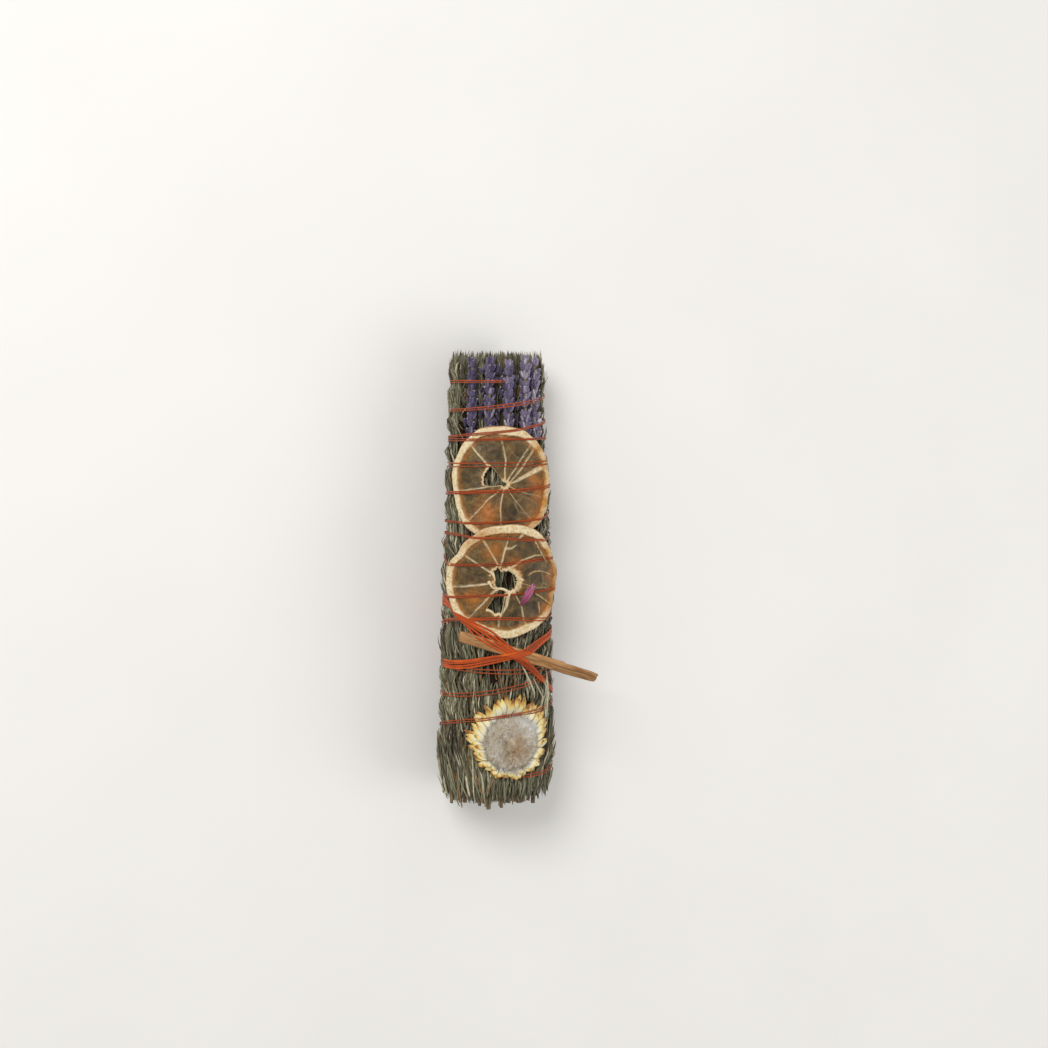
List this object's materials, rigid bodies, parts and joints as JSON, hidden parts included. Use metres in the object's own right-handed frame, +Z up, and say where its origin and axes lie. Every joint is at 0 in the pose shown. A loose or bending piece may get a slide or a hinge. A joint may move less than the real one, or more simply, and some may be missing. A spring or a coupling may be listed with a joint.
{
  "type": "rosemary lavender smudge stick",
  "caption": "Thread-bound bundle of dried rosemary with lavender at its tip, dressed with citrus slices, a crossed wood stick and a strawflower, lying on its side.",
  "frame": {"origin": "on the ground plane under the bundle's middle, on the underside needle that lies flat on the ground", "axes": "+Y along the bundle from the cut stems to the tips, +Z up out of the dressed front, +X to the right as the dressed front is seen from above with the tips away"},
  "size_m": [0.0785, 0.2199, 0.0585],
  "materials": {
    "rosemary": "dried grey-green needles and woody stems, matt",
    "lavender": "dried blue-violet buds, matt",
    "citrus": "dried citrus slice, cream rim and amber flesh, satin",
    "wood": "raw pale brown wood, matt",
    "bract": "papery pale yellow bracts, slight sheen",
    "fluff": "fluffy grey-beige seed head, matt",
    "thread": "orange-rust embroidery thread, soft sheen",
    "petal": "dried magenta petal, matt",
    "stalk": "dry tan stalks, matt"
  },
  "bodies": {
    "root": {"rosemary_sprig_1": "rosemary", "rosemary_sprig_2": "rosemary", "rosemary_sprig_3": "rosemary", "rosemary_sprig_4": "rosemary", "rosemary_sprig_5": "rosemary", "rosemary_sprig_6": "rosemary", "rosemary_sprig_7": "rosemary", "rosemary_sprig_8": "rosemary", "rosemary_sprig_9": "rosemary", "rosemary_sprig_10": "rosemary", "lavender_spike_1": "lavender", "lavender_spike_2": "lavender", "lavender_spike_3": "lavender", "lavender_spike_4": "lavender", "lavender_spike_5": "lavender", "citrus_slice_upper": "citrus", "citrus_slice_lower": "citrus", "wood_stick": "wood", "strawflower_bracts": "bract", "strawflower_head": "fluff", "petal": "petal", "dry_stalk_1": "stalk", "dry_stalk_2": "stalk", "dry_stalk_3": "stalk", "dry_stalk_4": "stalk", "binding_thread": "thread"}
  },
  "joints": []
}
